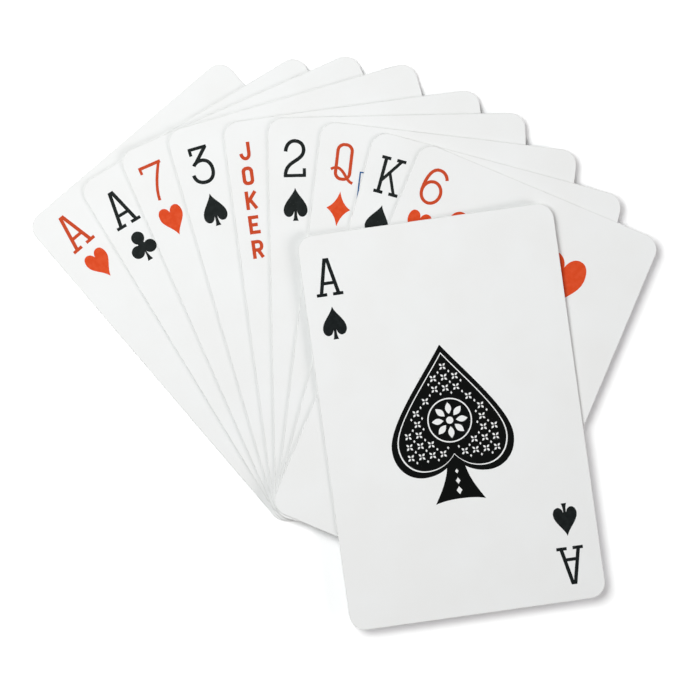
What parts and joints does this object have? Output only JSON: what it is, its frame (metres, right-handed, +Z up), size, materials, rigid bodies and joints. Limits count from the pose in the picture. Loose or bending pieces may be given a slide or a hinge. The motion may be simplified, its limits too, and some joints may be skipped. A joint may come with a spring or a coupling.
{
  "type": "playing cards",
  "caption": "Playing cards lying face up in a spread fan with an ace drawn out over them; each is a printed paper laminate that turns about its corner.",
  "frame": {"origin": "on the table, at the centre of the bottom card's lower left corner arc, where the fan turns", "axes": "+X to the right of the spread, +Y up the spread, +Z up from the table"},
  "size_m": [0.138, 0.1268, 0.0034],
  "materials": {
    "card_paper": "satin",
    "core_film": "matte",
    "black_ink": "satin",
    "red_ink": "satin",
    "blue_ink": "satin",
    "yellow_ink": "satin",
    "back_ink": "satin"
  },
  "bodies": {
    "ace_of_hearts": {"ace_of_hearts_face_sheet": "card_paper", "ace_of_hearts_core": "core_film", "ace_of_hearts_back_sheet": "card_paper", "ace_of_hearts_back_print": "back_ink", "ace_of_hearts_red_print": "red_ink"},
    "ace_of_clubs": {"ace_of_clubs_face_sheet": "card_paper", "ace_of_clubs_core": "core_film", "ace_of_clubs_back_sheet": "card_paper", "ace_of_clubs_back_print": "back_ink", "ace_of_clubs_black_print": "black_ink"},
    "seven_of_hearts": {"seven_of_hearts_face_sheet": "card_paper", "seven_of_hearts_core": "core_film", "seven_of_hearts_back_sheet": "card_paper", "seven_of_hearts_back_print": "back_ink", "seven_of_hearts_red_print": "red_ink"},
    "three_of_spades": {"three_of_spades_face_sheet": "card_paper", "three_of_spades_core": "core_film", "three_of_spades_back_sheet": "card_paper", "three_of_spades_back_print": "back_ink", "three_of_spades_black_print": "black_ink"},
    "joker": {"joker_face_sheet": "card_paper", "joker_core": "core_film", "joker_back_sheet": "card_paper", "joker_back_print": "back_ink", "joker_red_print": "red_ink", "joker_black_print": "black_ink"},
    "two_of_spades": {"two_of_spades_face_sheet": "card_paper", "two_of_spades_core": "core_film", "two_of_spades_back_sheet": "card_paper", "two_of_spades_back_print": "back_ink", "two_of_spades_black_print": "black_ink"},
    "queen_of_diamonds": {"queen_of_diamonds_face_sheet": "card_paper", "queen_of_diamonds_core": "core_film", "queen_of_diamonds_back_sheet": "card_paper", "queen_of_diamonds_back_print": "back_ink", "queen_of_diamonds_red_print": "red_ink", "queen_of_diamonds_blue_print": "blue_ink", "queen_of_diamonds_yellow_print": "yellow_ink", "queen_of_diamonds_black_print": "black_ink"},
    "king_of_spades": {"king_of_spades_face_sheet": "card_paper", "king_of_spades_core": "core_film", "king_of_spades_back_sheet": "card_paper", "king_of_spades_back_print": "back_ink", "king_of_spades_red_print": "red_ink", "king_of_spades_blue_print": "blue_ink", "king_of_spades_yellow_print": "yellow_ink", "king_of_spades_black_print": "black_ink"},
    "six_of_hearts": {"six_of_hearts_face_sheet": "card_paper", "six_of_hearts_core": "core_film", "six_of_hearts_back_sheet": "card_paper", "six_of_hearts_back_print": "back_ink", "six_of_hearts_red_print": "red_ink"},
    "ace_of_spades": {"ace_of_spades_face_sheet": "card_paper", "ace_of_spades_core": "core_film", "ace_of_spades_back_sheet": "card_paper", "ace_of_spades_back_print": "back_ink", "ace_of_spades_black_print": "black_ink"}
  },
  "joints": [
    {"name": "ace_of_clubs_turn", "type": "hinge", "parent": "ace_of_hearts", "child": "ace_of_clubs", "pos_m": [0.00075, 0, 0], "axis": [0, 0, 1], "range_deg": [-9.25, 9.25]},
    {"name": "seven_of_hearts_turn", "type": "hinge", "parent": "ace_of_hearts", "child": "seven_of_hearts", "pos_m": [0, 0.0015, 0], "axis": [0, 0, 1], "range_deg": [-16.75, 16.75]},
    {"name": "three_of_spades_turn", "type": "hinge", "parent": "ace_of_hearts", "child": "three_of_spades", "pos_m": [0.00025, 0.00225, 0], "axis": [0, 0, 1], "range_deg": [-24.25, 24.25]},
    {"name": "joker_turn", "type": "hinge", "parent": "ace_of_hearts", "child": "joker", "pos_m": [0.00075, 0.00125, 0], "axis": [0, 0, 1], "range_deg": [-32.75, 32.75]},
    {"name": "two_of_spades_turn", "type": "hinge", "parent": "ace_of_hearts", "child": "two_of_spades", "pos_m": [0.00125, 0.00125, 0], "axis": [0, 0, 1], "range_deg": [-39.25, 39.25]},
    {"name": "queen_of_diamonds_turn", "type": "hinge", "parent": "ace_of_hearts", "child": "queen_of_diamonds", "pos_m": [0.0015, 0.00075, 0], "axis": [0, 0, 1], "range_deg": [-47.25, 47.25]},
    {"name": "king_of_spades_turn", "type": "hinge", "parent": "ace_of_hearts", "child": "king_of_spades", "pos_m": [0.00125, 0.0005, 0], "axis": [0, 0, 1], "range_deg": [-55.5, 55.5]},
    {"name": "six_of_hearts_turn", "type": "hinge", "parent": "ace_of_hearts", "child": "six_of_hearts", "pos_m": [0.001, 0.00125, 0], "axis": [0, 0, 1], "range_deg": [-63.25, 63.25]},
    {"name": "ace_of_spades_draw", "type": "slide", "parent": "ace_of_hearts", "child": "ace_of_spades", "axis": [0.1392, -0.9903, 0], "range_m": [-0.025, 0.035]}
  ]
}
